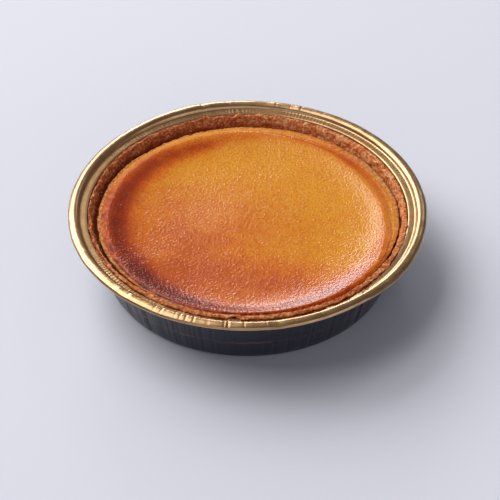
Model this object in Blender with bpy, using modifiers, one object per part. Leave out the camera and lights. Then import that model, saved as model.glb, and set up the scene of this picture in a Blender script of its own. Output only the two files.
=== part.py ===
# A round baked cheesecake in the shallow foil tin that it was baked in.
#
# Three solids, one inside the other: the foil tin, the biscuit crust that lines it, and the filling.
# The origin is at the centre of the tin's flat base, with +Z up and the front of the cake towards -Y.
# All sizes below are in millimetres and all angles in degrees.
# A bearing is an angle seen from above, clockwise: 0 is +X, 90 the front, 180 is -X and 270 the back.

import math
import random

import bpy
from mathutils import Vector, noise

MM = 0.001                  # one millimetre in metres
GAP = 0.3                   # room between solids that touch

# The tin: a tapered cup, a flat ledge round its mouth, a rounded bead, and a rolled hem at the edge.
RIM_RADIUS = 80.0           # outside of the hem
FOOT_RADIUS = 64.0          # outside of the wall, just above the base corner
LEDGE_HEIGHT = 30.5         # top face of the ledge, above the table
LEDGE_INNER = 71.2          # radius of the cup's mouth
BEAD_RADIUS = 2.2           # radius of the rounded bead's section, on its inner side
BEAD_OUTER = 4.4            # and on its outer side, which falls away more gently
BEAD_CENTRE = 77.0          # radius at which the bead's crest runs
BEAD_HEIGHT = 2.0           # crest of the bead above the ledge
HEM_RADIUS = 0.55           # the rolled hem is a thin round roll
HEM_RISE = 0.35             # the roll's middle, above the ledge
SHEET = 0.5                 # wall of the tin, thicker than real foil so that it is a sound solid
BASE_CORNER = 2.5           # rounding between the base and the wall, outside
MOUTH_CORNER = 0.6          # rounding between the wall and the ledge, inside
TIN_STEPS = 72              # turns of the profile
# How far the rim is bent up from level, at a few bearings.
RIM_WARP = {0: 0.0, 30: -0.3, 54: 0.5, 80: 0.1, 120: 0.0, 222: 0.0, 251: 0.75, 280: 0.1, 330: 0.0}

# The crust: a crumbly biscuit cup pressed into the tin. Filling and crust have parted at the top,
# so a narrow groove runs between them.
CRUST_FLOOR = 4.2           # thickness of the crust's floor
CRUST_FOOT_WALL = 3.2       # thickness of the crust's wall just above its floor
CRUST_NECK = 2.2            # the crust fills the tin's mouth from this far below the ledge
CRUST_ROUND = 0.35          # rounding of the top's edges
CRUST_SHOULDER = 0.9        # how far the inner edge is worn down, where nothing laps over the ledge
GROOVE_DEPTH = 7.5          # bottom of the groove, below the ledge
GROOVE_RADIUS = 66.3        # the filling's side at the bottom of the groove
FACE_BOW = 0.6              # the face over the groove: 1 is straight, less bows it towards the tin
CRUST_STEPS = 180
# How far the crust laps out over the ledge, how high its top stands above the ledge, and the
# radius of its top's inner edge, each at a few bearings.
LAP = {0: 0.0, 22: 1.0, 35: 1.3, 60: 2.3, 98: 2.35, 122: 1.75, 145: 1.3, 168: 0.3, 185: 0.0, 335: 0.0}
CRUST_TOP = {0: -0.5, 25: 0.5, 50: 1.1, 95: 1.1, 130: 0.6, 160: -0.2, 190: -0.4, 225: 0.0, 262: -0.1,
             300: -0.6, 335: -0.8}
CRUST_INNER = {0: 68.9, 30: 69.6, 60: 71.0, 95: 71.0, 130: 70.3, 160: 69.8, 200: 69.3, 270: 69.1, 320: 68.2}
LAP_START = 0.4             # a lap this wide lies on the ledge
LUMPS = ((216, 1.6, 0.35), (233, 1.4, 0.35), (254, 1.3, 0.8), (267, 1.1, 0.6))   # bearing, half width, height
BITES = ((94.5, 1.5, 1.6),)     # bearing, half width, how far the lap is bitten back
CRUMB = 0.35                # random crumbling of the crust's open surface
CLUMP_WAVE = 3.6            # spacing of its larger clumps
CLUMP = 1.3                 # height of those clumps
# How strongly each ring of the open surface crumbles.
CRUMBLING = {"low face": 0.8, "high face": 1.2, "inner edge": 0.9, "inner top": 0.5, "outer top": 0.5,
             "outer edge": 0.3}

# The filling: a plug with a raised, rounded ring near its edge and a shallow basin inside the ring.
CREST_RADIUS = {0: 61.0, 15: 63.0, 30: 65.0, 60: 65.8, 90: 65.8, 125: 64.8, 150: 63.6, 180: 62.8, 232: 61.6,
                270: 60.0, 300: 58.0, 330: 58.0}     # the raised ring, at a few bearings
CREST_DEPTH = 2.5           # the ring's crest, below the ledge
BASIN_DEPTH = 2.7           # the middle of the basin, below the crest
# A higher power keeps the basin's floor flat further out: it is given at a few bearings.
BASIN_FLATNESS = {0: 8.0, 35: 7.5, 60: 9.0, 90: 13.0, 120: 12.0, 150: 7.0, 180: 6.0, 215: 6.0, 250: 8.0}
BASIN_EASE = 1.6            # a higher power rounds the crest more
BASIN_RINGS = (0.3, 0.55, 0.7, 0.8, 0.88, 0.935, 0.975)      # as shares of the crest's radius
BASIN_LIFT = 0.5            # how far its floor rises towards the right
LIFT_BEARING = 342
LIFT_RUN = (-25.0, 60.0)    # where that rise starts and ends, measured across the middle
SKIN_EDGE = 1.9             # the browned skin ends this far outside the crest at most
SKIN_SHARE = 0.55           # or this share of the way to the lip
SKIN_DROP = {0: 0.5, 120: 0.4, 140: 0.12, 255: 0.12, 290: 0.5}      # and this far below it
LIP_DROP = 0.8              # the pale lip outside the skin's edge, below the crest
LIP = {0: 67.7, 60: 67.0, 120: 66.9, 165: 67.1, 190: 66.4, 206: 66.4, 232: 65.0, 270: 64.9, 310: 65.6,
       340: 66.9}
SHOULDER_DROP = 2.2         # the rounded shoulder under the lip, below the crest
FILLING_STEPS = 96
SWELL_WAVE = 22.0           # spacing of the slow unevenness of the filling's top
SWELL = 0.25                # its height

random_source = random.Random(15)


def around(bearing, stations):
    """A value that changes smoothly round the cake, given at a few bearings."""
    marks = sorted(stations.items())
    marks = [(marks[-1][0] - 360, marks[-1][1])] + marks + [(marks[0][0] + 360, marks[0][1])]
    for (start, low), (end, high) in zip(marks, marks[1:]):
        if start <= bearing <= end:
            return low + (high - low) * ease(bearing, start, end)


def ease(value, start, end):
    """0 up to the start, 1 from the end on, and smooth between them."""
    t = min(1.0, max(0.0, (value - start) / (end - start)))
    return t * t * (3 - 2 * t)


def hump(bearing, middle, half_width):
    """1 at the middle bearing, falling smoothly to 0 at twice the half width."""
    away = abs((bearing - middle + 180) % 360 - 180)
    return 1 - ease(away, 0, 2 * half_width)


def humps(bearing, stations):
    """The sum of a few local humps: each has a bearing, a half width and a height."""
    return sum(height * hump(bearing, middle, half_width) for middle, half_width, height in stations)


def arc(centre, radius, start, end, count):
    """Points of a section on an arc, from one angle to another."""
    angles = [math.radians(start + (end - start) * i / (count - 1)) for i in range(count)]
    return [(centre[0] + radius * math.cos(a), centre[1] + radius * math.sin(a)) for a in angles]


def polar(vertex):
    """Bearing, radius and height of a mesh vertex, in degrees and millimetres."""
    x, y, z = vertex.co / MM
    return math.degrees(math.atan2(-y, x)) % 360, math.hypot(x, y), z


def place(vertex, bearing, radius, height):
    """Put a mesh vertex at a bearing, radius and height."""
    angle = math.radians(bearing)
    vertex.co = Vector((radius * math.cos(angle), -radius * math.sin(angle), height)) * MM


def principled(name, colour, roughness, metallic):
    """A plain Principled material."""
    material = bpy.data.materials.new(name)
    material.use_nodes = True
    shader = material.node_tree.nodes["Principled BSDF"]
    shader.inputs["Base Color"].default_value = (*colour, 1.0)
    shader.inputs["Roughness"].default_value = roughness
    shader.inputs["Metallic"].default_value = metallic
    return material


def turned(name, section, steps, material, collection):
    """Turn a section round Z. It is listed from the axis over its top and down its outer side."""
    profile = bpy.data.meshes.new(name + " section")
    points = [(radius * MM, 0, height * MM) for radius, height in section]
    profile.from_pydata(points, [(i, i + 1) for i in range(len(points) - 1)], [])
    part = bpy.data.objects.new(name, profile)
    collection.objects.link(part)
    screw = part.modifiers.new("Turn", 'SCREW')
    screw.steps = screw.render_steps = steps
    screw.use_merge_vertices = True
    screw.merge_threshold = 0.0001
    screw.use_normal_calculate = True
    bpy.context.view_layer.update()
    evaluated = part.evaluated_get(bpy.context.evaluated_depsgraph_get())
    part.data = bpy.data.meshes.new_from_object(evaluated)
    part.modifiers.clear()
    bpy.data.meshes.remove(profile)
    part.data.name = name
    part.data.materials.clear()
    part.data.materials.append(material)
    part.data.shade_smooth()
    return part


def fit_section(part, section_at, roughen):
    """Move each ring of a turned part to the section at each vertex's own bearing, and roughen it."""
    rings = section_at(0.0)
    for vertex in part.data.vertices:
        bearing, radius, height = polar(vertex)
        ring = min(rings, key=lambda name: math.dist(rings[name], (radius, height)))
        radius, height = section_at(bearing)[ring]
        place(vertex, bearing, radius, height)
        outwards, upwards = roughen(ring, bearing, vertex.co)
        place(vertex, bearing, radius + outwards, height + upwards)


# ---- tin ----

wall_lean = math.atan2(LEDGE_INNER + SHEET - FOOT_RADIUS, LEDGE_HEIGHT - BASE_CORNER)


def tin_wall(height, inset=0.0):
    """Radius of the wall's outer face at a height, or that far inside it."""
    return FOOT_RADIUS + (height - BASE_CORNER) * math.tan(wall_lean) - inset / math.cos(wall_lean)


def wall_foot(inset):
    """The rounded corner from the wall down to the floor, of a cup that far inside the tin."""
    radius = BASE_CORNER - inset
    end_height = inset + radius * (1 - math.sin(wall_lean))
    centre = (tin_wall(end_height, inset) - radius * math.cos(wall_lean), inset + radius)
    return arc(centre, radius, -math.degrees(wall_lean), -90, 4)


def tin_section():
    """The tin's outline, from the axis over its inside and its rim, and back along its underside."""
    bead = (BEAD_CENTRE, LEDGE_HEIGHT + BEAD_HEIGHT - BEAD_RADIUS)
    outer = (BEAD_CENTRE, LEDGE_HEIGHT + BEAD_HEIGHT - BEAD_OUTER)
    hem = (RIM_RADIUS - HEM_RADIUS, LEDGE_HEIGHT + HEM_RISE)
    mouth = (tin_wall(LEDGE_HEIGHT, SHEET) + MOUTH_CORNER, LEDGE_HEIGHT - MOUTH_CORNER)
    inside = [(0, SHEET)] + wall_foot(SHEET)[::-1]
    inside += arc(mouth, MOUTH_CORNER, 180 - math.degrees(wall_lean), 90, 3)
    over = arc(bead, BEAD_RADIUS, 174, 90, 6) + arc(outer, BEAD_OUTER, 80, 54, 4)
    over += arc(hem, HEM_RADIUS, 66, -150, 6)
    under = arc(bead, BEAD_RADIUS - SHEET, 2, 178, 6)
    ledge = [(BEAD_CENTRE - BEAD_RADIUS + SHEET, LEDGE_HEIGHT - SHEET),
             (tin_wall(LEDGE_HEIGHT - SHEET), LEDGE_HEIGHT - SHEET)]
    return inside + over + under + ledge + wall_foot(0.0) + [(0, 0)]


def make_tin(collection):
    """The foil tin. Its rim is bent slightly upwards at the front right and the back left."""
    foil = principled("Gold lacquered foil", (0.55, 0.40, 0.21), 0.35, 1.0)
    tin = turned("tin", tin_section(), TIN_STEPS, foil, collection)
    for vertex in tin.data.vertices:
        bearing, radius, height = polar(vertex)
        reach = ease(radius, LEDGE_INNER + 1.0, BEAD_CENTRE)
        place(vertex, bearing, radius, height + around(bearing, RIM_WARP) * reach)


# ---- crust ----

def crust_section(bearing):
    """The crust's outline by name: floor, groove, open face, top, lap, outer wall and underside."""
    inset = SHEET + GAP
    wall = tin_wall(LEDGE_HEIGHT, inset)
    top = LEDGE_HEIGHT + around(bearing, CRUST_TOP) + humps(bearing, LUMPS)
    lap = around(bearing, LAP) - humps(bearing, BITES)
    on_ledge = ease(lap, 0.0, LAP_START)
    inner = around(bearing, CRUST_INNER)
    outer = wall + max(0.0, lap)
    under = (top - CRUST_ROUND) * (1 - on_ledge) + (LEDGE_HEIGHT + GAP) * on_ledge
    worn = CRUST_SHOULDER * (1 - on_ledge)
    floor_top = inset + CRUST_FLOOR
    groove = (GROOVE_RADIUS + GAP, LEDGE_HEIGHT - GROOVE_DEPTH)

    def face(part_way):
        return (groove[0] + (inner - groove[0]) * part_way ** FACE_BOW,
                groove[1] + (top - CRUST_ROUND - worn - groove[1]) * part_way)

    outline = {
        "floor middle": (0, floor_top),
        "floor edge": (tin_wall(floor_top, inset + CRUST_FOOT_WALL), floor_top),
        "groove": groove, "low face": face(1 / 3), "high face": face(2 / 3), "inner edge": face(1),
        "inner top": (inner + (outer - inner) / 3, top - worn / 4),
        "outer top": (outer - CRUST_ROUND, top),
        "outer edge": (outer, (top + under) / 2),
        "lap edge": (outer - CRUST_ROUND / 3, under),
        "throat": (wall - CRUST_ROUND / 3, under - CRUST_ROUND * (1 - on_ledge)),
        "wall top": (tin_wall(LEDGE_HEIGHT - CRUST_NECK, inset), LEDGE_HEIGHT - CRUST_NECK)}
    outline |= {f"foot {i}": point for i, point in enumerate(wall_foot(inset))}
    outline["underside"] = (0, inset)
    return outline


def crumble(ring, bearing, spot):
    """How far a spot of the crust's open surface is pushed out and up, by clumps and by loose crumbs."""
    clump = noise.noise(spot / (CLUMP_WAVE * MM)) * CLUMP
    crumbs = [random_source.uniform(-CRUMB, CRUMB) for _ in range(2)]
    strength = CRUMBLING.get(ring, 0.0)
    upwards = strength * (clump + crumbs[0])
    if ring.startswith("outer"):
        return 0.0, upwards
    room = around(bearing, CRUST_INNER) - around(bearing, LIP) - GAP
    return max(strength * (clump + crumbs[1]), -room / 2), upwards


def make_crust(collection):
    """The biscuit crust, which laps over the ledge at the front."""
    biscuit = principled("Baked biscuit crumb", (0.32, 0.13, 0.06), 0.85, 0.0)
    crust = turned("crust", crust_section(0.0).values(), CRUST_STEPS, biscuit, collection)
    fit_section(crust, crust_section, crumble)


# ---- filling ----

def basin(share, radius, bearing):
    """Height of the filling's top inside the raised ring: steep by the ring, nearly flat in the middle."""
    sink = (1 - share ** around(bearing, BASIN_FLATNESS)) ** BASIN_EASE
    rise = BASIN_LIFT * ease(radius * math.cos(math.radians(bearing - LIFT_BEARING)), *LIFT_RUN)
    return LEDGE_HEIGHT - CREST_DEPTH - (BASIN_DEPTH - rise) * sink


def filling_section(bearing):
    """The filling's outline by name: basin, raised ring, skin's edge, lip, shoulder and the plug's side."""
    crest = LEDGE_HEIGHT - CREST_DEPTH
    lip = around(bearing, LIP)
    ring = around(bearing, CREST_RADIUS)
    edge = min(SKIN_EDGE, SKIN_SHARE * (lip - ring))
    drop = around(bearing, SKIN_DROP)
    floor = SHEET + GAP + CRUST_FLOOR + GAP
    outline = {"middle": (0, basin(0, 0, bearing))}
    for share in BASIN_RINGS:
        outline[f"basin {share}"] = (share * ring, basin(share, share * ring, bearing))
    return outline | {
        "crest": (ring, crest),
        "over crest": (ring + edge / 2, crest - drop / 4),
        "skin edge": (ring + edge, crest - drop),
        "lip": (lip, crest - LIP_DROP),
        "shoulder": ((lip + 2 * GROOVE_RADIUS) / 3, crest - SHOULDER_DROP),
        "groove": (GROOVE_RADIUS, LEDGE_HEIGHT - GROOVE_DEPTH),
        "foot": (tin_wall(floor, SHEET + GAP + CRUST_FOOT_WALL + GAP), floor),
        "underside": (0, floor)}


def swell(ring, _bearing, spot):
    """The slow unevenness of the filling's top."""
    strength = 1.0 if ring.startswith("basin") or ring == "middle" else 0.0
    return 0.0, strength * SWELL * noise.noise(spot / (SWELL_WAVE * MM))


def make_filling(collection):
    """The filling, with its sunken middle."""
    custard = principled("Baked cheese custard", (0.60, 0.21, 0.06), 0.35, 0.0)
    filling = turned("filling", filling_section(0.0).values(), FILLING_STEPS, custard, collection)
    fit_section(filling, filling_section, swell)


def main():
    for old in list(bpy.data.objects):
        bpy.data.objects.remove(old)
    cheesecake = bpy.data.collections.new("cheesecake")
    bpy.context.scene.collection.children.link(cheesecake)
    make_tin(cheesecake)
    make_crust(cheesecake)
    make_filling(cheesecake)


main()
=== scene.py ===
# A baked cheesecake in its foil tin: the foil, the crumbly biscuit crust, the browned filling and
# loose crumbs. Sizes are in millimetres and angles in degrees. A bearing is an angle seen from above,
# clockwise: 0 is +X, 90 the front, 180 is -X and 270 the back.

import math
import random

import bpy
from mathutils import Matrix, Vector, noise


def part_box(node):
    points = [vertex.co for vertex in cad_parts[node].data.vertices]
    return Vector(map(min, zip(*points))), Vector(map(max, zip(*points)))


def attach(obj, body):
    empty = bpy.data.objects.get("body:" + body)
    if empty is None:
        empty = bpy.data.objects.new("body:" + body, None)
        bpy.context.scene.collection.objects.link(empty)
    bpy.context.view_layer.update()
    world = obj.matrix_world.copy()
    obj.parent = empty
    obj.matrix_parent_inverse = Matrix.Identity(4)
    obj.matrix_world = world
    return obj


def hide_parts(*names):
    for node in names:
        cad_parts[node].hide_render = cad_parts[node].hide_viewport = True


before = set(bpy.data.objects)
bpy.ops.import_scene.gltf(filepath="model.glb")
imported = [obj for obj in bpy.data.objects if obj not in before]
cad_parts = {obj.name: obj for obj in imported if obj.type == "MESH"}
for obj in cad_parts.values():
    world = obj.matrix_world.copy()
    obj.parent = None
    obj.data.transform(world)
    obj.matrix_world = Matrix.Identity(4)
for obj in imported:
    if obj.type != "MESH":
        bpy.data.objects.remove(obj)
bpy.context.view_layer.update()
scene = bpy.context.scene
mm = 0.001
joinWithin = 0.000002           # metres: points that lie closer become one
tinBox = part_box("tin")
print("frame loaded")


# camera, floor and light

view = {
    "place": (0.00109, -0.83256, 0.71557),      # metres
    "tilt": 49.613,             # from looking straight down
    "focal": 174.456, "sensor": 36,
}

studio = {
    "floor": "dce0ee", "floorRoughness": 0.9,
    "floorSize": 8.0,           # metres
    "room": "e6e2e6", "roomStrength": 0.17,     # faint light from all round
    # soft lights: degrees left of straight behind the cake, how far off and how high their middle is,
    # how far they lean down to face it in degrees, and their size in metres and power
    "lights": {
        "window": {"left": 45, "distance": 2.2, "height": 1.72, "lean": 0,
                   "wide": 3.0, "tall": 1.84, "watts": 84, "colour": "fffbf6"},
        "skylight": {"left": 74, "distance": 1.2, "height": 2.3, "lean": 62,
                     "wide": 2.5, "tall": 1.4, "watts": 30, "colour": "fffbf6"},
        "pane": {"left": 6.5, "distance": 2.6, "height": 0.83, "lean": 0,
                 "wide": 0.72, "tall": 0.66, "watts": 12, "colour": "fffdfa"},
        "card": {"left": -28, "distance": 2.2, "height": 1.45, "lean": 33,
                 "wide": 0.5, "tall": 0.6, "watts": 1.4, "colour": "fffbf6"},
        "bounce": {"left": -125, "distance": 2.2, "height": 0.75, "lean": 0,
                   "wide": 1.6, "tall": 0.8, "watts": 3.5, "colour": "fffbf6"},
        "fill": {"left": 180, "distance": 2.6, "height": 0.8, "lean": 0,
                 "wide": 5.6, "tall": 1.4, "watts": 19, "colour": "f6f6ff"},
    },
}


def linear(hexColour):
    parts = [int(hexColour[i:i + 2], 16) / 255 for i in (0, 2, 4)]
    return tuple(c / 12.92 if c <= 0.04045 else ((c + 0.055) / 1.055) ** 2.4 for c in parts) + (1.0,)


def setInputs(material, node, inputs):      # another node's socket is linked, anything else is set
    for name, value in inputs.items():
        if isinstance(value, bpy.types.NodeSocket):
            material.node_tree.links.new(value, node.inputs[name])
        else:
            node.inputs[name].default_value = value


def addNode(material, kind, inputs=None, **settings):
    node = material.node_tree.nodes.new(kind)
    for name, value in settings.items():
        setattr(node, name, value)
    setInputs(material, node, inputs or {})
    return node


def mixColours(material, factor, first, second):    # each colour is a hex value or a node's socket
    first, second = [linear(colour) if isinstance(colour, str) else colour for colour in (first, second)]
    mix = addNode(material, "ShaderNodeMix", {"Factor": factor, 6: first, 7: second}, data_type="RGBA")
    return mix.outputs[2]


def rampColours(material, factor, stops):
    ramp = addNode(material, "ShaderNodeValToRGB", {"Fac": factor})
    elements = ramp.color_ramp.elements
    elements[0].position, elements[0].color = stops[0][0], linear(stops[0][1])
    elements[1].position, elements[1].color = stops[-1][0], linear(stops[-1][1])
    for position, colour in stops[1:-1]:
        elements.new(position).color = linear(colour)
    return ramp.outputs["Color"]


def newMaterial(name):
    material = bpy.data.materials.new(name)
    material.use_nodes = True
    return material, material.node_tree.nodes["Principled BSDF"]


def setUpCamera():
    bpy.ops.object.camera_add(location=view["place"], rotation=(math.radians(view["tilt"]), 0, 0))
    scene.camera = bpy.context.object
    scene.camera.data.sensor_width = view["sensor"]
    scene.camera.data.lens = view["focal"]
    scene.view_settings.view_transform = "Standard"


def addWindow(name, window):
    left, lean = math.radians(window["left"]), math.radians(window["lean"])
    towards = Vector((-math.sin(left), math.cos(left), 0))
    place = towards * window["distance"] + Vector((0, 0, window["height"]))
    bpy.ops.object.light_add(type="AREA", location=place)
    light = bpy.context.object
    light.name = name
    facing = towards * math.cos(lean) + Vector((0, 0, math.sin(lean)))
    light.rotation_euler = facing.to_track_quat("Z", "Y").to_euler()
    light.data.shape = "RECTANGLE"
    light.data.size, light.data.size_y = window["wide"], window["tall"]
    light.data.energy = window["watts"]
    light.data.color = linear(window["colour"])[:3]


def setUpStudio():
    for name, window in studio["lights"].items():
        addWindow(name, window)
    world = bpy.data.worlds.new("room")
    world.use_nodes = True
    setInputs(world, world.node_tree.nodes["Background"],
              {"Color": linear(studio["room"]), "Strength": studio["roomStrength"]})
    scene.world = world
    bpy.ops.mesh.primitive_plane_add(size=studio["floorSize"])
    floor = bpy.context.object
    floor.name = "floor"
    paper, shader = newMaterial("matt paper")
    setInputs(paper, shader, {"Base Color": linear(studio["floor"]), "Roughness": studio["floorRoughness"]})
    floor.data.materials.append(paper)


setUpCamera()
setUpStudio()
print("camera and studio ready")


# shapes that follow a bearing

def ease(value, start, end):    # 0 up to the start, 1 from the end on
    t = min(1.0, max(0.0, (value - start) / (end - start)))
    return t * t * (3 - 2 * t)


def within(value, zone):        # comes in over the zone's first two marks and goes out over the last two
    return ease(value, zone[0], zone[1]) * (1 - ease(value, zone[2], zone[3]))


def around(bearing, marks):     # changes smoothly round the cake between the marks
    spots = sorted(marks.items())
    spots = [(spots[-1][0] - 360, spots[-1][1])] + spots + [(spots[0][0] + 360, spots[0][1])]
    for (start, low), (end, high) in zip(spots, spots[1:]):
        if start <= bearing <= end:
            return low + (high - low) * ease(bearing, start, end)


def away(bearing, middle):
    return abs((bearing - middle + 180) % 360 - 180)


def hump(bearing, middle, halfWidth):
    return 1 - ease(away(bearing, middle), 0, 2 * halfWidth)


def humps(bearing, spots):      # each spot: bearing, half width, height
    return sum(height * hump(bearing, middle, halfWidth) for middle, halfWidth, height in spots)


def wave(bearing, period, seed):    # smooth noise round the cake, about -1 to 1, another for each seed
    angle = math.radians(bearing)
    reach = 180 / math.pi / period
    return noise.noise(Vector((math.cos(angle) * reach, math.sin(angle) * reach, seed * 7.3))) * 1.6


def arcPoints(centre, radius, start, end, count):
    angles = [math.radians(start + (end - start) * i / (count - 1)) for i in range(count)]
    return [(centre[0] + radius * math.cos(a), centre[1] + radius * math.sin(a)) for a in angles]


def stretch(start, end, count):     # points on a straight run, without its two ends
    shares = [(i + 1) / (count + 1) for i in range(count)]
    return [(start[0] + (end[0] - start[0]) * t, start[1] + (end[1] - start[1]) * t) for t in shares]


def bearingOf(spot):
    return math.degrees(math.atan2(-spot.y, spot.x)) % 360


def placed(bearing, radius, height):
    angle = math.radians(bearing)
    return Vector((radius * math.cos(angle), -radius * math.sin(angle), height)) * mm


def turnProfile(name, profile, steps):
    # drawn point by point in edit mode, then turned round Z; every point keeps its ring number
    bpy.ops.object.select_all(action="DESELECT")
    bpy.ops.mesh.primitive_circle_add(vertices=3, radius=mm)
    piece = bpy.context.object
    piece.name = piece.data.name = name
    bpy.ops.object.mode_set(mode="EDIT")
    bpy.ops.mesh.select_all(action="SELECT")
    bpy.ops.mesh.merge(type="CENTER")
    bpy.ops.transform.translate(value=(profile[0][0] * mm, 0, profile[0][1] * mm))
    for (radius, height), (nextRadius, nextHeight) in zip(profile, profile[1:]):
        step = ((nextRadius - radius) * mm, 0, (nextHeight - height) * mm)
        bpy.ops.mesh.extrude_vertices_move(TRANSFORM_OT_translate={"value": step})
    bpy.ops.object.mode_set(mode="OBJECT")
    ring = piece.data.attributes.new("ring", "INT", "POINT")
    for vertex in piece.data.vertices:
        spot = (vertex.co.x / mm, vertex.co.z / mm)
        ring.data[vertex.index].value = min(range(len(profile)), key=lambda i: math.dist(profile[i], spot))
    turn = piece.modifiers.new("Turn", "SCREW")
    turn.steps = turn.render_steps = steps
    turn.use_merge_vertices = True
    turn.merge_threshold = joinWithin
    bpy.ops.object.modifier_apply(modifier=turn.name)
    return piece


def closeSurface(piece):        # one skin, facing out
    bpy.ops.object.select_all(action="DESELECT")
    bpy.context.view_layer.objects.active = piece
    piece.select_set(True)
    bpy.ops.object.mode_set(mode="EDIT")
    bpy.ops.mesh.select_all(action="SELECT")
    bpy.ops.mesh.remove_doubles(threshold=joinWithin)
    bpy.ops.mesh.normals_make_consistent(inside=False)
    bpy.ops.object.mode_set(mode="OBJECT")
    bpy.ops.object.shade_smooth()


def addLayers(piece, *names):   # numbers that a material reads, one for each point
    for name in names:
        piece.data.attributes.new(name, "FLOAT", "POINT")
    return {name: piece.data.attributes[name].data for name in names}


def sectionNormal(section, ring):   # of a ring, in the plane of the section, away from the solid
    (r0, h0), (r1, h1) = section[max(0, ring - 1)], section[min(len(section) - 1, ring + 1)]
    length = math.hypot(r1 - r0, h1 - h0) or 1.0
    return -(h1 - h0) / length, (r1 - r0) / length


def finishPiece(piece, node, materials):
    for material in materials:
        piece.data.materials.append(material)
    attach(piece, "root")
    if node:
        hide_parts(node)


# the foil tin

tinShape = {
    "rim": tinBox[1].x / mm, "foot": 64.0, "ledge": 30.5, "mouth": 71.2, "sheet": 0.5,
    "beadRadius": 2.2, "beadOuter": 4.4, "beadCentre": 77.0, "beadHeight": 2.0,     # the rolled rim
    "hem": 0.55, "hemRise": 0.35,
    "baseCorner": 2.5, "mouthCorner": 0.6, "floorRing": 30, "steps": 1440,
    # how far the rim rises and falls round the cake
    "warp": {0: 0.0, 30: -0.3, 54: 0.5, 80: 0.1, 120: 0.0, 222: 0.0, 251: 0.75, 280: 0.1, 330: 0.0},
    "ripple": 0.04, "ripplePeriod": 1.3,        # pressed lines across the ledge
    "ledgeSag": 0.12, "sagFrom": 70.5, "sagTo": 75, "sagRun": 4,    # the ledge leans down towards the mouth
    "bow": 0.16, "sideBow": 0.6,                # slow waviness of the rolled rim, and its share on the side
    "crease": 0.34, "billow": 0.35,             # depth of a pleat in the wall, and the swelling between them
    # where the rolled rim, the flat ledge and the wall come in and go out
    "beadZone": (75.0, 76.4, 79.0, 79.9),
    "ledgeZone": (71.6, 72.4, 74.6, 75.6), "ledgeAbove": 28,
    "wallZone": (0.2, 4, 26.5, 29.8), "wallInside": 72,
    "tuck": 0.1, "tuckZone": (78.0, 79.6),      # the rim's side is drawn in a little
    "hemDent": 0.35, "sideDent": 0.45, "sideZone": (78.4, 80),      # how much of a dent shows there
    "dentScale": 0.4,
    "dents": (                                  # bearing, half width, depth before scaling
        (66, 0.3, 0.2), (75, 0.25, 0.16), (84, 0.3, 0.2), (91, 0.3, 0.22), (96, 0.35, 0.4),
        (97.2, 0.25, 0.25), (107, 0.3, 0.3), (109.5, 0.25, 0.3), (111.5, 0.25, 0.28), (113.2, 0.2, 0.16),
        (118, 0.35, 0.26), (120.5, 0.25, 0.2), (131, 0.35, 0.26), (142, 0.3, 0.1), (254, 0.5, 0.3),
        (263.5, 0.3, 0.2), (265.5, 0.25, 0.15), (280, 0.3, 0.2), (285, 0.25, 0.15), (289, 0.3, 0.2),
        (293, 0.25, 0.15), (297, 0.3, 0.16)),
    "smallDents": 26, "smallDepth": 0.14, "seed": 7,
    "pleatFrom": 0.08,                          # a dent deeper than this has a pleat below it
}

wallLean = math.atan2(tinShape["mouth"] + tinShape["sheet"] - tinShape["foot"],
                      tinShape["ledge"] - tinShape["baseCorner"])
chance = random.Random(tinShape["seed"])
tinDents = list(tinShape["dents"]) + [
    (chance.uniform(0, 360), chance.uniform(0.35, 0.8), chance.uniform(0.3, 1) * tinShape["smallDepth"])
    for _ in range(tinShape["smallDents"])]
wallPleats = [(spot + chance.uniform(-0.5, 0.5), chance.uniform(0.25, 0.6), chance.uniform(0.4, 1))
              for spot, _, depth in tinDents if depth > tinShape["pleatFrom"]]


def wallRadius(height, inset=0.0):      # of the wall's outside, or of a skin this far inside it
    rise = (height - tinShape["baseCorner"]) * math.tan(wallLean)
    return tinShape["foot"] + rise - inset / math.cos(wallLean)


def wallFoot(inset):            # the rounded corner from wall to floor
    radius = tinShape["baseCorner"] - inset
    height = inset + radius * (1 - math.sin(wallLean))
    centre = (wallRadius(height, inset) - radius * math.cos(wallLean), inset + radius)
    return arcPoints(centre, radius, -math.degrees(wallLean), -90, 4)


def tinProfile():               # from the middle of the floor over the rim to the middle of the underside
    ledge, sheet, beadRadius = tinShape["ledge"], tinShape["sheet"], tinShape["beadRadius"]
    bead = (tinShape["beadCentre"], ledge + tinShape["beadHeight"] - beadRadius)
    hem = (tinShape["rim"] - tinShape["hem"], ledge + tinShape["hemRise"])
    corner = tinShape["mouthCorner"]
    mouth = (wallRadius(ledge, sheet) + corner, ledge - corner)
    inside = [(0, sheet), (tinShape["floorRing"], sheet)] + wallFoot(sheet)[::-1]
    inside += arcPoints(mouth, corner, 180 - math.degrees(wallLean), 90, 4)
    outer = (bead[0], bead[1] + beadRadius - tinShape["beadOuter"])
    over = arcPoints(bead, beadRadius, 174, 90, 8) + arcPoints(outer, tinShape["beadOuter"], 85, 54, 7)
    inside += stretch(inside[-1], over[0], 3)
    roll = arcPoints(hem, tinShape["hem"], 66, -150, 9)
    under = arcPoints(bead, beadRadius - sheet, 2, 178, 6)
    under += [(bead[0] - beadRadius + sheet, ledge - sheet), (wallRadius(ledge - sheet), ledge - sheet)]
    foot = wallFoot(0.0)
    wall = stretch(under[-1], foot[0], 9)
    lastGold = len(inside + over + roll) - 1
    return inside + over + roll + under + wall + foot + [(tinShape["floorRing"], 0), (0, 0)], lastGold


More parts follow.
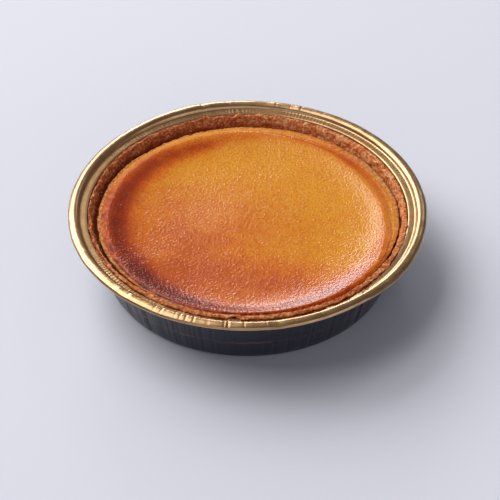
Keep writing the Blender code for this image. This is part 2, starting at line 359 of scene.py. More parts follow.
def makeTin(gold, dark):
    shape, steps = tinShape, tinShape["steps"]
    profile, lastGold = tinProfile()
    tin = turnProfile("foilTin", profile, steps)
    bearings = [360 * i / steps for i in range(steps)]
    warp = [around(b, shape["warp"]) for b in bearings]
    dent = [humps(b, tinDents) * shape["dentScale"] for b in bearings]
    pleat = [shape["billow"] * (abs(wave(b, 5, 1)) + 0.4 * wave(b, 2, 2))
             - shape["crease"] * min(1.0, humps(b, wallPleats)) for b in bearings]
    bow = [wave(b, 6, 3) * shape["bow"] for b in bearings]
    ripple = [math.cos(2 * math.pi * (b / shape["ripplePeriod"] + 0.6 * wave(b, 5, 4)))
              * shape["ripple"] * (0.6 + 0.4 * wave(b, 11, 5)) for b in bearings]
    for vertex, mark in zip(tin.data.vertices, tin.data.attributes["ring"].data):
        radius, height = profile[mark.value]
        step = round(bearingOf(vertex.co) / 360 * steps) % steps
        inside = mark.value <= lastGold
        rim = ease(radius, shape["mouth"] + 1, shape["beadCentre"])
        bead = within(radius, shape["beadZone"])
        ledge = within(radius, shape["ledgeZone"]) * (height > shape["ledgeAbove"])
        wall = within(height, shape["wallZone"]) * (radius < shape["wallInside"])
        height += warp[step] * rim - (dent[step] + abs(bow[step])) * bead + ripple[step] * ledge
        height -= shape["hemDent"] * dent[step] * ease(radius, *shape["beadZone"][2:])
        if inside and shape["sagFrom"] < radius < shape["sagTo"]:
            height -= shape["ledgeSag"] * (shape["sagTo"] - radius) / shape["sagRun"]
        dented = shape["sideDent"] * dent[step] * ease(radius, *shape["sideZone"])
        radius -= dented + (shape["tuck"] + bow[step] * shape["sideBow"]) * ease(radius, *shape["tuckZone"])
        if not inside:
            radius += pleat[step] * wall
        vertex.co = placed(bearings[step], radius, height)
    closeSurface(tin)
    rings = tin.data.attributes["ring"].data
    for face in tin.data.polygons:
        face.material_index = 0 if max(rings[v].value for v in face.vertices) <= lastGold else 1
    finishPiece(tin, "tin", (gold, dark))


foilFinish = {
    "gold": ((0.3, "b2885a"), (0.7, "c6a06e")), "cloudSize": 6,     # clouded between these two
    "goldGrain": 0.7, "goldRoughness": (0.27, 0.4), "goldBump": 0.05,
    "coatIor": 1.6, "coatRoughness": 0.1,
    "outside": "2a2935", "outsideRoughness": 0.27, "outsideIor": 1.5,
    "bronze": "5a4236", "lines": ((11.5, 0.45), (25.0, 0.3)),       # height and half width of each line
    "lineDrift": 1.1, "driftSize": 9,           # how far they wander up and down, and over what length
    "lineInk": (0.1, 0.8), "wornSize": 14,      # least and most ink left on them
}


def goldLacqueredFoil():
    # aluminium foil rolled, lacquered gold and pressed: satin, warm, a little uneven
    finish = foilFinish
    material, shader = newMaterial("gold lacquered foil")
    place = addNode(material, "ShaderNodeTexCoord").outputs["Object"]
    cloud = addNode(material, "ShaderNodeTexNoise",
                    {"Vector": place, "Scale": 1 / (finish["cloudSize"] * mm), "Detail": 3.0}).outputs["Fac"]
    grain = addNode(material, "ShaderNodeTexNoise",
                    {"Vector": place, "Scale": 1 / (finish["goldGrain"] * mm), "Detail": 2.0}).outputs["Fac"]
    smoothest, roughest = finish["goldRoughness"]
    rough = addNode(material, "ShaderNodeMapRange", {"Value": grain, "To Min": smoothest, "To Max": roughest})
    bump = addNode(material, "ShaderNodeBump",
                   {"Height": grain, "Strength": 0.3, "Distance": finish["goldBump"] * mm})
    setInputs(material, shader, {
        "Base Color": rampColours(material, cloud, finish["gold"]), "Metallic": 1.0,
        "Roughness": rough.outputs["Result"], "Normal": bump.outputs["Normal"],
        "Coat Weight": 1.0, "Coat IOR": finish["coatIor"], "Coat Roughness": finish["coatRoughness"]})
    return material


def darkLacqueredFoil():
    # the same foil, lacquered blue-black outside: glossy, with two thin bronze lines printed round it
    finish = foilFinish
    material, shader = newMaterial("blue-black lacquered foil")
    place = addNode(material, "ShaderNodeTexCoord").outputs["Object"]
    height = addNode(material, "ShaderNodeSeparateXYZ", {"Vector": place}).outputs["Z"]
    drift = addNode(material, "ShaderNodeTexNoise",
                    {"Vector": place, "Scale": 1 / (finish["driftSize"] * mm), "Detail": 1.0}).outputs["Fac"]
    wander = finish["lineDrift"] * mm
    shift = addNode(material, "ShaderNodeMapRange",
                    {"Value": drift, "To Min": -wander, "To Max": wander}).outputs["Result"]
    level = addNode(material, "ShaderNodeMath", {0: height, 1: shift}, operation="ADD").outputs[0]
    masks = []
    for lineHeight, halfWidth in finish["lines"]:
        gapTo = addNode(material, "ShaderNodeMath", {0: level, 1: lineHeight * mm}, operation="SUBTRACT")
        gapTo = addNode(material, "ShaderNodeMath", {0: gapTo.outputs[0]}, operation="ABSOLUTE").outputs[0]
        masks.append(addNode(material, "ShaderNodeMapRange", {
            "Value": gapTo, "From Min": halfWidth * mm, "From Max": 2 * halfWidth * mm,
            "To Min": 1.0, "To Max": 0.0}).outputs["Result"])
    lines = addNode(material, "ShaderNodeMath", {0: masks[0], 1: masks[1]}, operation="MAXIMUM").outputs[0]
    worn = addNode(material, "ShaderNodeTexNoise",
                   {"Vector": place, "Scale": 1 / (finish["wornSize"] * mm), "Detail": 2.0}).outputs["Fac"]
    leastInk, mostInk = finish["lineInk"]
    kept = addNode(material, "ShaderNodeMapRange", {
        "Value": worn, "From Min": 0.35, "From Max": 0.65, "To Min": leastInk, "To Max": mostInk})
    ink = addNode(material, "ShaderNodeMath", {0: lines, 1: kept.outputs["Result"]}, operation="MULTIPLY")
    setInputs(material, shader, {
        "Base Color": mixColours(material, ink.outputs[0], finish["outside"], finish["bronze"]),
        "Roughness": finish["outsideRoughness"], "IOR": finish["outsideIor"]})
    return material


makeTin(goldLacqueredFoil(), darkLacqueredFoil())
print("foil tin made")


# the biscuit crust

crustShape = {
    "gap": 0.3,                                 # to the tin and to the filling
    "floor": 4.2, "footWall": 3.2,              # thickness under the filling and low down on the wall
    "grooveDepth": 7.5, "grooveRadius": 66.3,   # the bottom of the groove round the filling
    "neck": 2.2, "round": 0.35, "lapLift": 0.04,    # where the lap leaves the wall, its rounding, its lift
    "faceRings": 18, "faceBow": 0.6, "crownRings": 8, "sideRings": 3, "steps": 1440,
    # round the cake: how far it laps over the ledge, its height above the ledge, and its inner radius
    "lap": {0: 0.0, 22: 1.0, 35: 1.3, 60: 2.3, 98: 2.35, 122: 1.75, 145: 1.3, 168: 0.3, 185: 0.0, 335: 0.0},
    "top": {0: -0.5, 25: 0.5, 50: 1.1, 95: 1.1, 130: 0.6, 160: -0.2, 190: -0.4, 225: 0.0, 262: -0.1,
            300: -0.6, 335: -0.8},
    "inner": {0: 68.9, 30: 69.6, 60: 71.0, 95: 71.0, 130: 70.3, 160: 69.8, 200: 69.3, 270: 69.1, 320: 68.2},
    "slump": {0: 0.2, 30: 0.35, 95: 0.45, 130: 0.35, 165: 0.2, 335: 0.2},   # the lap rounds off outwards
    # bearing, half width and height or depth
    "lumps": ((216, 1.6, 0.35), (233, 1.4, 0.35), (254, 1.3, 0.8), (267, 1.1, 0.6)),
    "bites": ((94.5, 1.5, 1.6),),
    "shoulder": 0.9,                            # how far its inner corner is worn where it has no lap
    "clump": 1.3, "clumpSize": 3.6,
    "ragged": 0.3,                              # unevenness of the lap's edge
    "crumb": 0.65, "crumbSize": 1.9,            # height and width of the crumbs pressed together
    "crumbRest": 0.55,                          # the level between hollow and crumb
    # how pale the biscuit is, and the painted shade that darkens the face towards the groove and the lap's
    # outer side
    # the paleness is partly the biscuit's own tone and partly painted light: paler on the right, where the
    # face is lit, and darker at the back left, where it is shaded
    "pale": {0: 0.75, 45: 0.45, 90: 0.7, 130: 0.5, 160: 0.5, 180: 0.6, 210: 0.15, 240: 0.15, 262: 0.35,
             290: 0.75, 320: 0.95},
    # painted shade round the cake: strongest from the front left round to the back left, where the crust is
    # turned from the light
    "paintedShade": {0: 0.2, 60: 0.6, 130: 0.9, 160: 1.0, 250: 0.95, 275: 0.55, 295: 0.15, 320: 0.0},
}
crustInset = tinShape["sheet"] + crustShape["gap"]


def crustProfile(bearing):      # over the floor, up the face, over the crown, down the side and back under
    shape, ledge = crustShape, tinShape["ledge"]
    wall = wallRadius(ledge, crustInset)
    top = ledge + around(bearing, shape["top"]) + humps(bearing, shape["lumps"])
    lap = around(bearing, shape["lap"]) - humps(bearing, shape["bites"])
    onLedge = ease(lap, 0.0, 0.4)
    lap += onLedge * shape["ragged"] * (wave(bearing, 1.5, 6) + wave(bearing, 4, 7)) - 0.15 * onLedge
    inner = around(bearing, shape["inner"])
    outer = wall + max(0.0, lap)
    under = (top - shape["round"]) * (1 - onLedge) + (ledge + shape["lapLift"]) * onLedge
    groove = (shape["grooveRadius"] + shape["gap"], ledge - shape["grooveDepth"])
    floorTop = crustInset + shape["floor"]
    shoulder = shape["shoulder"] * (1 - onLedge)
    rise = top - shape["round"] - shoulder - groove[1]
    last = shape["faceRings"] - 1
    face = [(groove[0] + (inner - groove[0]) * (i / last) ** shape["faceBow"], groove[1] + rise * i / last)
            for i in range(shape["faceRings"])]
    slump = around(bearing, shape["slump"]) * (top - under)
    shares = [0.08 + 0.12 * i for i in range(shape["crownRings"])]
    crown = [(inner + (outer - inner) * t,
              top - slump * ease(t, 0.5, 1.1) - shoulder * (1 - ease(t, -0.3, 0.6))) for t in shares]
    edge = crown[-1][1]
    side = [(outer, (edge * 2 + under) / 3), (outer, (edge + under * 2) / 3),
            (outer - shape["round"] / 3, under)]
    neck = [(wall - shape["round"] / 3, under - shape["round"] * (1 - onLedge)),
            (wallRadius(ledge - shape["neck"], crustInset), ledge - shape["neck"])]
    base = [(0, floorTop), (wallRadius(floorTop, crustInset + shape["footWall"]), floorTop)]
    return base + face + crown + side + neck + wallFoot(crustInset) + [(0, crustInset)]


def crumbs(spot, size):         # rounded lumps of every size with sharp cracks between, about 0 to 1
    stretched = Vector((spot.x, spot.y, spot.z * 1.8)) / (size * mm)
    return noise.turbulence(stretched, 4, True, amplitude_scale=0.6, frequency_scale=2.1)


def makeCrust(biscuit):
    shape, steps = crustShape, crustShape["steps"]
    crust = turnProfile("biscuitCrust", crustProfile(0.0), steps)
    sections = [crustProfile(360 * i / steps) for i in range(steps)]
    firstOpen = 2                               # the first ring that shows
    crownStart = firstOpen + shape["faceRings"]
    crownEnd = crownStart + shape["crownRings"] - 1
    lastOpen = crownEnd + shape["sideRings"]
    layers = addLayers(crust, "cavity", "pale", "paintedShade")
    for vertex, mark in zip(crust.data.vertices, crust.data.attributes["ring"].data):
        ring = mark.value
        step = round(bearingOf(vertex.co) / 360 * steps) % steps
        bearing = 360 * step / steps
        radius, height = sections[step][ring]
        vertex.co = placed(bearing, radius, height)
        if not firstOpen < ring <= lastOpen:
            continue
        outR, outH = sectionNormal(sections[step], ring)
        strength = ease(ring, firstOpen, firstOpen + 5)
        sideways = 0.0 if ring > crownEnd - 2 else 1.0 - 0.6 * ease(ring, crownStart - 1, crownEnd)
        clump = noise.noise(vertex.co / (shape["clumpSize"] * mm)) * shape["clump"] * strength
        lump = crumbs(vertex.co, shape["crumbSize"])
        push = shape["crumb"] * (lump - shape["crumbRest"]) * strength * (0.5 if ring > crownEnd else 1.0)
        room = around(bearing, shape["inner"]) - around(bearing, fillingShape["lip"]) - shape["gap"]
        radius += max(clump * sideways * 0.8 + outR * push, -room / 2)
        height += clump * 0.6 * (0 if ring > crownEnd + 1 else 1) + outH * push
        layers["cavity"][vertex.index].value = lump
        layers["pale"][vertex.index].value = around(bearing, shape["pale"])
        # painted shade: darker down the face towards the groove, and on the lap's outer side
        deep = max(1 - ease(ring, 7, 18), 0.8 * ease(ring, crownEnd - 1, crownEnd + 1))
        layers["paintedShade"][vertex.index].value = deep * around(bearing, shape["paintedShade"])
        vertex.co = placed(bearing, radius, height)
    closeSurface(crust)
    finishPiece(crust, "crust", (biscuit,))
    return crust


biscuitFinish = {
    "dark": ((0.25, "8e3a1c"), (0.5, "b0562c"), (0.75, "cc8450")),      # crumbs where it is darker: better baked, and painted shade where it is turned from the light
    "light": ((0.25, "c0602e"), (0.5, "d8864a"), (0.75, "ecb884")),     # and where it is paler: less baked, and painted light where it faces the light
    # painted shade in the hollows between crumbs, dark and light with the biscuit
    "darkCrackShade": "5a1a10", "lightCrackShade": "a04418", "crackShadeDepth": 0.85,
    # the colour and strength of the painted shade
    "paintedShade": "a43e22", "shadeStrength": 0.8,
    "crumbSize": 0.9, "cloudSize": 4,           # how large the patches of one colour are
    "grain": 0.45, "grainBump": 0.15,
    "roughness": 0.85, "specular": 0.25,
}


def bakedBiscuit():
    # crushed biscuit bound with butter and baked: dry, matt, each crumb its own brown, with painted shade in
    # the hollows between crumbs, down towards the groove and on the lap's outer side
    finish = biscuitFinish
    material, shader = newMaterial("baked biscuit crumb")
    place = addNode(material, "ShaderNodeTexCoord").outputs["Object"]
    cavity, pale, paintedShade = [addNode(material, "ShaderNodeAttribute", attribute_name=name).outputs["Fac"]
                              for name in ("cavity", "pale", "paintedShade")]
    crumb = addNode(material, "ShaderNodeTexVoronoi",
                    {"Vector": place, "Scale": 1 / (finish["crumbSize"] * mm)})
    tint = addNode(material, "ShaderNodeSeparateColor", {"Color": crumb.outputs["Color"]}).outputs["Red"]
    cloud = addNode(material, "ShaderNodeTexNoise",
                    {"Vector": place, "Scale": 1 / (finish["cloudSize"] * mm), "Detail": 4.0}).outputs["Fac"]
    tint = addNode(material, "ShaderNodeMath", {0: tint, 1: cloud}, operation="ADD").outputs[0]
    tint = addNode(material, "ShaderNodeMath", {0: tint, 1: 0.5}, operation="MULTIPLY").outputs[0]
    dark = rampColours(material, tint, finish["dark"])
    light = rampColours(material, tint, finish["light"])
    body = mixColours(material, pale, dark, light)
    # painted shade in the hollows between crumbs, where the crumb pattern is low
    crack = addNode(material, "ShaderNodeMapRange", {
        "Value": cavity, "From Min": 0.12, "From Max": 0.36, "To Min": finish["crackShadeDepth"], "To Max": 0.0})
    crackShaded = mixColours(material, crack.outputs["Result"], body,
                         mixColours(material, pale, finish["darkCrackShade"], finish["lightCrackShade"]))
    deep = addNode(material, "ShaderNodeMath", {0: paintedShade, 1: finish["shadeStrength"]}, operation="MULTIPLY")
    colour = mixColours(material, deep.outputs[0], crackShaded, finish["paintedShade"])
    grain = addNode(material, "ShaderNodeTexNoise",
                    {"Vector": place, "Scale": 1 / (finish["grain"] * mm), "Detail": 3.0}).outputs["Fac"]
    bump = addNode(material, "ShaderNodeBump",
                   {"Height": grain, "Strength": 0.8, "Distance": finish["grainBump"] * mm})
    setInputs(material, shader, {
        "Base Color": colour, "Normal": bump.outputs["Normal"],
        "Roughness": finish["roughness"], "Specular IOR Level": finish["specular"]})
    return material


# the filling

fillingShape = {
    # the basin: its edge's radius and depth below the ledge, how deep its floor lies below that,
    # and how far the skin reaches out past the edge
    "crest": 63.0, "crestDepth": 2.5, "easing": 1.6, "middleDepth": 2.7, "skinEdge": 1.9, "skinShare": 0.55,
    # how far out the basin's floor stays flat: more is further
    "flatness": {0: 8, 35: 7.5, 60: 9, 90: 13, 120: 12, 150: 7, 180: 6, 215: 6, 250: 8},
    "skinDrop": {0: 0.5, 120: 0.4, 140: 0.12, 255: 0.12, 290: 0.5},     # from its crest to its end
    "lipDrop": 0.8, "shoulderDrop": 2.2,
    "crestRadius": {0: 61.0, 15: 63.0, 30: 65.0, 60: 65.8, 90: 65.8, 125: 64.8, 150: 63.6, 180: 62.8,
                    232: 61.6, 270: 60.0, 300: 58.0, 330: 58.0},
    "lift": 0.5, "liftBearing": 342, "liftRun": (-25, 60),      # its floor rises towards that side
    "lip": {0: 67.7, 60: 67.0, 120: 66.9, 165: 67.1, 190: 66.4, 206: 66.4, 232: 65.0, 270: 64.9, 310: 65.6,
            340: 66.9},
    "bank": {0: 0.3, 30: 0.6, 90: 0.5, 120: 0.2, 145: 0.0, 300: 0.0, 340: 0.1},     # skin climbs the crust
    "bankZone": (55, 65.5), "lipBank": 0.9,
    # the grid of the skin, and rings of points over the lip, over the shoulder and down the side
    "cells": 268, "lipRings": 6, "shoulderRings": 4, "sideRings": 5,
    # slow swells and fine wrinkles of the skin, the radii where they end, and how much of the wrinkles
    # its smooth parts keep
    "swell": 0.25, "swellSize": 22.0, "swellEnd": (56, 62),
    "grain": 0.05, "grainSize": 1.2, "grainEnd": (60, 64), "calmGrain": 0.35,
    "crack": 0.3,               # the step where the browned skin ends
    "lipWaves": ((1.2, 8, 0.16), (3.5, 9, 0.22)), "lipRise": 0.3,   # how wavy the lip is: period, seed, depth
    # how browned the skin is, from 0 for gold to 1: all over, then the change by place
    # (x, y, half width and half depth)
    "bakeAndShade": 0.15,
    "patches": ((-18, -2, 34, 26, 0.18), (-40, -14, 22, 36, 0.1), (-34, -26, 24, 18, 0.14),
                (-10, -46, 42, 17, 0.34), (10, -20, 30, 22, 0.08), (34, -46, 24, 14, 0.1)),
    # the browner ring inside the edge, partly baked colour and partly painted shade on its slope where it is
    # turned from the light: how much and at what radius, round the cake
    "ring": {0: 0.18, 20: 0.25, 45: 0.38, 90: 0.48, 115: 0.5, 130: 0.44, 150: 0.52, 190: 0.62, 216: 0.58,
             246: 0.5, 262: 0.3, 280: 0.2, 300: 0.34, 320: 0.42, 340: 0.26},
    "ringRadius": {0: 62.5, 45: 62.5, 90: 63.5, 130: 62.5, 150: 60.4, 180: 58.8, 200: 57.8, 216: 57, 246: 55,
                   265: 57, 290: 60, 320: 60.5},
    "ringWidth": {0: 4, 45: 5, 90: 4.5, 150: 7, 210: 7, 260: 4.5, 300: 3},
    # the skin outside that ring: how brown, and from what radius; at the front it is partly painted shade on
    # the shoulder, which is turned from the light
    "edge": {0: 0.22, 30: 0.4, 60: 0.62, 110: 0.8, 140: 0.8, 165: 0.68, 185: 0.6, 215: 0.3, 240: 0.15,
             290: 0.25, 320: 0.4},
    "edgeStart": {0: 63.0, 60: 65.5, 115: 65.5, 140: 64.4, 165: 62.9, 185: 61.8, 240: 60.6, 300: 62},
    "edgeRun": 1.2, "edgeWave": 0.5, "blotch": 0.5,     # how soon it is full, how wavy and how blotched it is
    # the raw, pale lip: from which ring of points, and how raw
    "rawStart": {0: 5, 60: 5, 125: 4.5, 150: 2, 240: 2, 262: 5, 300: 5, 335: 4},
    "rawLip": {0: 0.9, 20: 0.8, 35: 0.4, 60: 0.35, 100: 0.7, 125: 0.9, 160: 1.0, 235: 1.0, 262: 0.6,
               300: 0.25, 335: 0.7},
    "dryEdge": {0: 0.1, 90: 0.1, 118: 0.3, 138: 1.0, 255: 1.0, 285: 0.5, 320: 0.3},     # how dull the edge is
    # where the skin is wrinkled and dull instead of smooth and moist: x, y, half width, half depth
    "wrinkled": ((-26, 4, 32, 30), (-30, -30, 26, 20), (-4, -46, 50, 18)), "wrinkledDry": 0.14,
}


def basinHeight(bearing, radius):
    # a flat floor, higher to one side, in a rounded rim
    shape = fillingShape
    sink = (1 - min(1.0, radius / shape["crest"]) ** around(bearing, shape["flatness"])) ** shape["easing"]
    along = radius * math.cos(math.radians(bearing - shape["liftBearing"]))
    depth = shape["middleDepth"] - shape["lift"] * ease(along, *shape["liftRun"])
    return tinShape["ledge"] - shape["crestDepth"] - depth * sink


def outsideSection(bearing):    # from the skin's edge over the lip and shoulder to the underside
    shape = fillingShape
    crest = tinShape["ledge"] - shape["crestDepth"]
    lip = around(bearing, shape["lip"])
    bank = around(bearing, shape["bank"])
    crestRadius = around(bearing, shape["crestRadius"])
    drop = around(bearing, shape["skinDrop"])
    edge = (crestRadius + min(shape["skinEdge"], shape["skinShare"] * (lip - crestRadius)),
            crest - drop * (1 - bank) + bank)
    lipTop = (lip, crest - shape["lipDrop"] + bank * shape["lipBank"])
    shoulder = ((lip + 2 * crustShape["grooveRadius"]) / 3, crest - shape["shoulderDrop"])
    groove = (crustShape["grooveRadius"], tinShape["ledge"] - crustShape["grooveDepth"])
    floor = crustInset + crustShape["floor"] + crustShape["gap"]
    foot = (wallRadius(floor, crustInset + crustShape["footWall"] + crustShape["gap"]), floor)
    points = [edge] + stretch(edge, lipTop, shape["lipRings"]) + [lipTop]
    points += stretch(lipTop, shoulder, shape["shoulderRings"]) + [shoulder]
    return points + stretch(shoulder, groove, shape["sideRings"]) + [groove, foot], crestRadius


def gridAngle(u, v):            # with it, squares round the middle of the grid become circles
    if u == v == 0:
        return 0.0
    if abs(u) >= abs(v):
        return v / u * 45 + (180 if u < 0 else 0)
    return 90 - u / v * 45 + (180 if v < 0 else 0)


def edgeShare(bearing, radius):     # 0 on the skin, 1 on its outer edge
    shape = fillingShape
    waviness = shape["edgeWave"] * (wave(bearing, 4, 12) + 0.5 * wave(bearing, 1.5, 13))
    start = around(bearing, shape["edgeStart"]) + waviness
    return ease(radius, start, start + shape["edgeRun"])


def browningAndShade(bearing, radius, x, y):
    shape = fillingShape
    brown = shape["bakeAndShade"]
    for px, py, halfWide, halfDeep, change in shape["patches"]:
        brown += change * (1 - ease(math.hypot((x - px) / halfWide, (y - py) / halfDeep), 0.3, 1.6))
    middle = around(bearing, shape["ringRadius"])
    width = around(bearing, shape["ringWidth"])
    # partly painted shade on the ring's inner slope, where it is turned from the light
    ring = around(bearing, shape["ring"]) * math.exp(-((radius - middle) / width) ** 2)
    # towards its edge the skin takes the edge's amount, at the front partly painted shade on the shoulder
    outer = edgeShare(bearing, radius)
    blotch = shape["blotch"] * (noise.noise(Vector((x, y, 0)) / 1.1) + noise.noise(Vector((x, y, 9)) / 2.5))
    return (brown + ring) * (1 - outer) + max(around(bearing, shape["edge"]) * (1 + blotch), ring) * outer


def makeFilling(custard):
    shape = fillingShape
    bpy.ops.object.select_all(action="DESELECT")
    bpy.ops.mesh.primitive_grid_add(x_subdivisions=shape["cells"], y_subdivisions=shape["cells"], size=2)
    filling = bpy.context.object
    filling.name = filling.data.name = "cheeseFilling"
    rings, lipRing = len(outsideSection(0.0)[0]), shape["lipRings"] + 1
    bpy.ops.object.mode_set(mode="EDIT")
    bpy.ops.mesh.select_all(action="SELECT")
    bpy.ops.mesh.region_to_loop()
    for _ in range(rings - 1):
        bpy.ops.mesh.extrude_region_move(TRANSFORM_OT_translate={"value": (0, 0, -1)})
    bpy.ops.mesh.edge_face_add()
    bpy.ops.object.mode_set(mode="OBJECT")
    layers = addLayers(filling, "bakeAndShade", "raw", "dry")
    for vertex in filling.data.vertices:
        u, v, ring = vertex.co.x, vertex.co.y, round(-vertex.co.z)
        bearing = -gridAngle(u, v) % 360
        outside, crestRadius = outsideSection(bearing)
        radius, height = outside[ring]
        dull = 0.0
        if ring == 0:
            edgeRadius = radius
            radius = max(abs(u), abs(v)) * edgeRadius
            flat = radius * shape["crest"] / crestRadius
            over = max(0.0, radius - crestRadius) / (edgeRadius - crestRadius)
            bank = around(bearing, shape["bank"])
            drop = around(bearing, shape["skinDrop"]) * (1 - bank)
            height = basinHeight(bearing, flat) - drop * over ** 2 + bank * ease(flat, *shape["bankZone"])
            spot = placed(bearing, radius, height)
            for px, py, halfWide, halfDeep in shape["wrinkled"]:
                reached = math.hypot((spot.x / mm - px) / halfWide, (spot.y / mm - py) / halfDeep)
                dull = max(dull, 1 - ease(reached, 0.4, 1.4))
            swell = noise.noise(spot / (shape["swellSize"] * mm))
            wrinkles = noise.noise(spot / (shape["grainSize"] * mm))
            height += shape["swell"] * swell * (1 - ease(flat, *shape["swellEnd"]))
            share = shape["calmGrain"] + (1 - shape["calmGrain"]) * dull
            height += shape["grain"] * wrinkles * share * (1 - ease(flat, *shape["grainEnd"]))
        else:
            lipNear = 1 - ease(abs(ring - lipRing), 0, 5)
            waves = [wave(bearing, period, seed) * deep for period, seed, deep in shape["lipWaves"]]
            radius += sum(waves) * lipNear
            height += shape["lipRise"] * wave(bearing, 2, 10) * lipNear * around(bearing, shape["rawLip"])
        if ring in (1, 2):
            height -= shape["crack"] * around(bearing, shape["rawLip"]) * (0.7 + 0.3 * wave(bearing, 2.5, 11))
        vertex.co = placed(bearing, radius, height)
        layers["bakeAndShade"][vertex.index].value = browningAndShade(bearing, radius, vertex.co.x / mm, vertex.co.y / mm)
        start = around(bearing, shape["rawStart"])
        raw = ease(ring, start - 1, start + 1) * around(bearing, shape["rawLip"])
        layers["raw"][vertex.index].value = raw
        dryEdge = around(bearing, shape["dryEdge"]) * edgeShare(bearing, radius + 0.3)
        layers["dry"][vertex.index].value = max(dryEdge, shape["wrinkledDry"] * dull)
    closeSurface(filling)
    finishPiece(filling, "filling", (custard,))


custardFinish = {
    "skin": ((0.0, "e4a030"), (0.2, "dc8e28"), (0.4, "d2711e"), (0.56, "c05616"), (0.72, "9c3811"),
             (0.88, "761f0e"), (1.0, "561410")),
    "raw": ((0.35, "8c4820"), (0.5, "bc7c38"), (0.65, "d4a45c")),
    "pit": "a04e14", "pitDepth": 0.35,
    "mottleSize": 7, "mottle": 0.26, "speckSize": 1.0, "speck": 0.34,   # how the browning varies
    "flakeSize": 1.2, "wrinkleSize": 1.0, "wrinkleBump": 0.2,
    "moistRoughness": 0.13, "dryRoughness": 0.8, "ior": 1.47,
}


def bakedCustard():
    # cheese custard baked until its skin browned: golden to red-brown, darker where painted shade lies in the
    # ring and at the front edge, finely wrinkled, with a moist sheen
    finish = custardFinish
    material, shader = newMaterial("baked cheese custard")
    place = addNode(material, "ShaderNodeTexCoord").outputs["Object"]
    bakeAndShade, raw, dry = [addNode(material, "ShaderNodeAttribute", attribute_name=name).outputs["Fac"]
                      for name in ("bakeAndShade", "raw", "dry")]
    mottle = addNode(material, "ShaderNodeTexNoise", {
        "Vector": place, "Scale": 1 / (finish["mottleSize"] * mm), "Detail": 4.0}).outputs["Fac"]
    speck = addNode(material, "ShaderNodeTexNoise",
                    {"Vector": place, "Scale": 1 / (finish["speckSize"] * mm), "Detail": 2.0}).outputs["Fac"]
    for pattern, amount in ((mottle, finish["mottle"]), (speck, finish["speck"])):
        change = addNode(material, "ShaderNodeMath", {0: pattern, 1: 0.5}, operation="SUBTRACT").outputs[0]
        bakeAndShade = addNode(material, "ShaderNodeMath", {0: change, 1: amount, 2: bakeAndShade},
                       operation="MULTIPLY_ADD").outputs[0]
    pits = addNode(material, "ShaderNodeMapRange", {
        "Value": speck, "From Min": 0.46, "From Max": 0.74, "To Max": finish["pitDepth"]}).outputs["Result"]
    skin = mixColours(material, pits, rampColours(material, bakeAndShade, finish["skin"]), finish["pit"])
    flake = addNode(material, "ShaderNodeTexNoise",
                    {"Vector": place, "Scale": 1 / (finish["flakeSize"] * mm), "Detail": 3.0}).outputs["Fac"]
    pale = rampColours(material, flake, finish["raw"])
    wrinkle = addNode(material, "ShaderNodeTexNoise", {
        "Vector": place, "Scale": 1 / (finish["wrinkleSize"] * mm), "Detail": 1.5, "Roughness": 0.5})
    bump = addNode(material, "ShaderNodeBump", {
        "Height": wrinkle.outputs["Fac"], "Strength": 1.0, "Distance": finish["wrinkleBump"] * mm})
    driest = addNode(material, "ShaderNodeMath", {0: raw, 1: dry}, operation="MAXIMUM").outputs[0]
    rough = addNode(material, "ShaderNodeMapRange", {
        "Value": driest, "To Min": finish["moistRoughness"], "To Max": finish["dryRoughness"]})
    setInputs(material, shader, {
        "Base Color": mixColours(material, raw, skin, pale), "Roughness": rough.outputs["Result"],
        "Normal": bump.outputs["Normal"], "IOR": finish["ior"]})
    return material


biscuit = bakedBiscuit()
crustPiece = makeCrust(biscuit)
print("biscuit crust made")
makeFilling(bakedCustard())
print("filling made")


# loose crumbs on the ledge, on the crust and in the groove

crumbShape = {
    "kinds": 6, "seed": 23,
    # where they lie: how many, bearings, radii, height above the ledge or None for on the crust,
    # and smallest and largest size
    "spills": ((10, (20, 140), (73.9, 74.6), 0.0, 0.2, 0.5), (14, (150, 330), (71.6, 74.2), 0.0, 0.2, 0.5),
               (90, (130, 340), (66.9, 68.6), None, 0.5, 1.1), (60, (0, 360), (68.8, 71.0), None, 0.4, 0.9)),
    # bearing, radius and size of the large ones
    "large": ((48, 74.0, 0.9), (97.0, 73.9, 0.5), (254, 72.6, 0.8), (267, 72.2, 0.6)),
    "largeLength": 1.5, "thickness": 0.8,       # for each millimetre of size
    "onLedge": 0.3, "onCrust": 0.15,            # how high the middle lies, for each millimetre of size
    "lumpiness": 0.55,
    "tip": 0.6,                                 # radians
    "layers": (("cavity", 0.6), ("pale", 0.6), ("paintedShade", 0.0)),
}


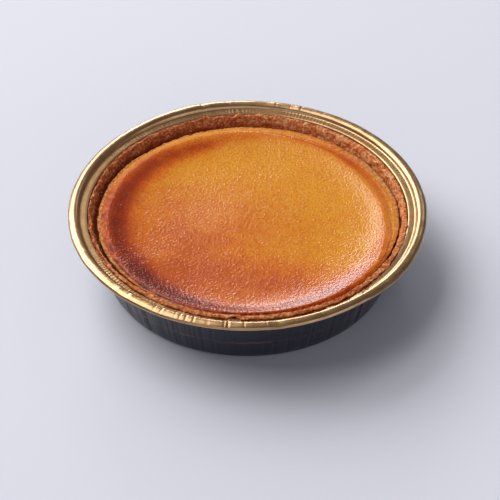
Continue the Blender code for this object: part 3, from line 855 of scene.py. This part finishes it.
def crumbKinds():
    kinds = []
    for kind in range(crumbShape["kinds"]):
        bpy.ops.object.select_all(action="DESELECT")
        bpy.ops.mesh.primitive_ico_sphere_add(subdivisions=2, radius=0.5)
        crumb = bpy.context.object
        for vertex in crumb.data.vertices:
            lump = noise.noise(vertex.co * 2.3 + Vector((kind * 5.1, 0, 0)))
            vertex.co *= 1 + crumbShape["lumpiness"] * lump
        bpy.ops.object.shade_smooth()
        kinds.append(crumb)
    return kinds


def crumbSpots(chance):         # bearing, radius, height above the ledge, length and size of each
    spots = [(bearing, radius, 0.0, size * crumbShape["largeLength"], size)
             for bearing, radius, size in crumbShape["large"]]
    for count, bearings, radii, lift, small, big in crumbShape["spills"]:
        for _ in range(count):
            size = small + (big - small) * chance.random() ** 2
            spots.append((chance.uniform(*bearings) % 360, chance.uniform(*radii), lift, size, size))
    return spots


def makeCrumbs(biscuit):
    chance = random.Random(crumbShape["seed"])
    tip = crumbShape["tip"]
    kinds, copies = crumbKinds(), []
    for bearing, radius, lift, length, size in crumbSpots(chance):
        height = tinShape["ledge"] + size * crumbShape["onLedge"]
        if lift is None:        # on the crust's own surface, found from above
            start = placed(bearing, radius, tinShape["ledge"] + 8)
            hit, where, _, _ = crustPiece.ray_cast(start, Vector((0, 0, -1)))
            if not hit:
                continue
            height = where.z / mm + size * crumbShape["onCrust"]
        copy = chance.choice(kinds).copy()
        copy.data = copy.data.copy()
        scene.collection.objects.link(copy)
        for vertex in copy.data.vertices:
            x, y, z = vertex.co
            vertex.co = Vector((x * length, y * size, z * size * crumbShape["thickness"])) * mm
        copy.rotation_euler = [chance.uniform(-tip, tip), chance.uniform(-tip, tip), chance.uniform(0, 6.28)]
        copy.location = placed(bearing, radius, height)
        copies.append(copy)
    for kind in kinds:
        bpy.data.objects.remove(kind)
    bpy.ops.object.select_all(action="DESELECT")
    for copy in copies:
        copy.select_set(True)
    bpy.context.view_layer.objects.active = copies[0]
    bpy.ops.object.join()
    loose = bpy.context.object
    bpy.ops.object.transform_apply(location=True, rotation=True, scale=True)
    loose.name = loose.data.name = "looseCrumbs"
    layers = addLayers(loose, *[name for name, _ in crumbShape["layers"]])
    for name, amount in crumbShape["layers"]:
        for mark in layers[name]:
            mark.value = amount
    finishPiece(loose, None, (biscuit,))


makeCrumbs(biscuit)
print("loose crumbs made")
